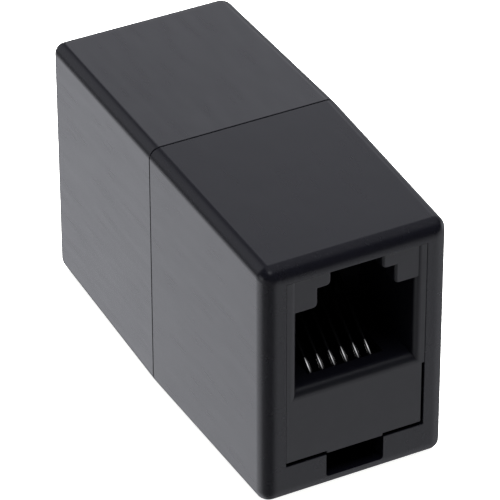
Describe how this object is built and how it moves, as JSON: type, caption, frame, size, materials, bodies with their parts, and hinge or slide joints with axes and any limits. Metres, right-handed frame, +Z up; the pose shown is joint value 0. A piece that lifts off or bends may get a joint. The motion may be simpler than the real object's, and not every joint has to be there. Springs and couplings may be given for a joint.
{
  "type": "modular inline coupler, six-position six-contact",
  "caption": "Black two-shell inline coupler with a narrow modular jack in each end, joined inside by short leads.",
  "frame": {"origin": "under the middle of the seam, at the height of its lowest edge", "axes": "+Z up with the latch side on top, +Y along the length away from the front jack, +X across the width"},
  "size_m": [0.016, 0.0364, 0.022],
  "materials": {
    "shell": "satin moulded black",
    "jack": "satin moulded black",
    "clamp": "satin moulded black",
    "contact": "bright nickel plated",
    "splice": "tinned",
    "lead_white": "extruded insulation",
    "lead_black": "extruded insulation",
    "lead_red": "extruded insulation",
    "lead_green": "extruded insulation",
    "lead_yellow": "extruded insulation",
    "lead_blue": "extruded insulation"
  },
  "bodies": {
    "root": {"front_shell": "shell", "rear_shell": "shell", "front_jack_body": "jack", "rear_jack_body": "jack", "front_wire_clamp": "clamp", "rear_wire_clamp": "clamp", "front_contact_1": "contact", "front_contact_2": "contact", "front_contact_3": "contact", "front_contact_4": "contact", "front_contact_5": "contact", "front_contact_6": "contact", "rear_contact_1": "contact", "rear_contact_2": "contact", "rear_contact_3": "contact", "rear_contact_4": "contact", "rear_contact_5": "contact", "rear_contact_6": "contact", "front_splice_1": "splice", "front_splice_2": "splice", "front_splice_3": "splice", "front_splice_4": "splice", "front_splice_5": "splice", "front_splice_6": "splice", "rear_splice_1": "splice", "rear_splice_2": "splice", "rear_splice_3": "splice", "rear_splice_4": "splice", "rear_splice_5": "splice", "rear_splice_6": "splice", "lead_white": "lead_white", "lead_black": "lead_black", "lead_red": "lead_red", "lead_green": "lead_green", "lead_yellow": "lead_yellow", "lead_blue": "lead_blue"}
  },
  "joints": []
}
